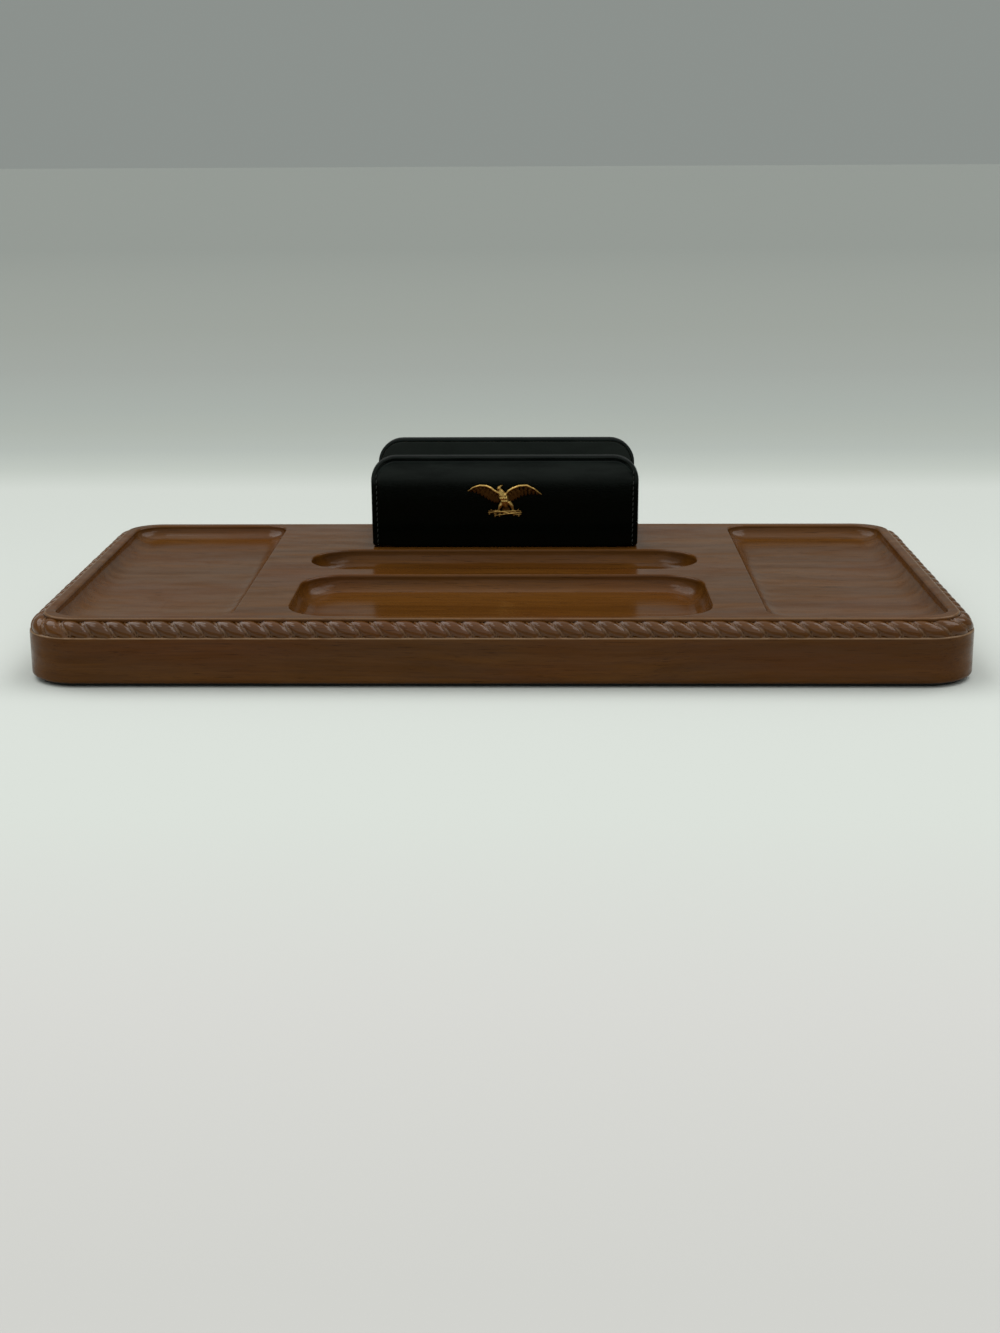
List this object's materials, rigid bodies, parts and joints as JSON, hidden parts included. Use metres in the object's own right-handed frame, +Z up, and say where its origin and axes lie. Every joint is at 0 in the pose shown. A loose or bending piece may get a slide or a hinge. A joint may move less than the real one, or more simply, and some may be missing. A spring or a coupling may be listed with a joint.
{
  "type": "valet tray",
  "caption": "Walnut desktop valet tray with recessed wells, a twisted-rope edge moulding and an upright leather letter and wallet holder bearing a brass eagle.",
  "frame": {"origin": "on the surface that the tray rests on, under the middle of the tray's outline", "axes": "+X along the tray to the right, +Y from the front to the back where the leather holder stands, +Z up"},
  "size_m": [0.3556, 0.1956, 0.0662],
  "materials": {
    "walnut": "semi-gloss lacquered walnut",
    "felt": "dense dark felt",
    "leather": "smooth black leather",
    "thread": "waxed black thread",
    "fibreboard": "raw fibreboard",
    "foam": "thin open foam",
    "steel": "zinc-plated steel",
    "brass": "antiqued cast brass"
  },
  "bodies": {
    "root": {"tray_board": "walnut", "rope_moulding": "walnut", "felt_base": "felt", "holder_cover": "leather", "holder_lining": "leather", "holder_front_board": "fibreboard", "holder_back_board": "fibreboard", "holder_base_board": "fibreboard", "holder_front_padding": "foam", "holder_back_padding": "foam", "holder_screws": "steel", "eagle_emblem": "brass"}
  },
  "joints": []
}
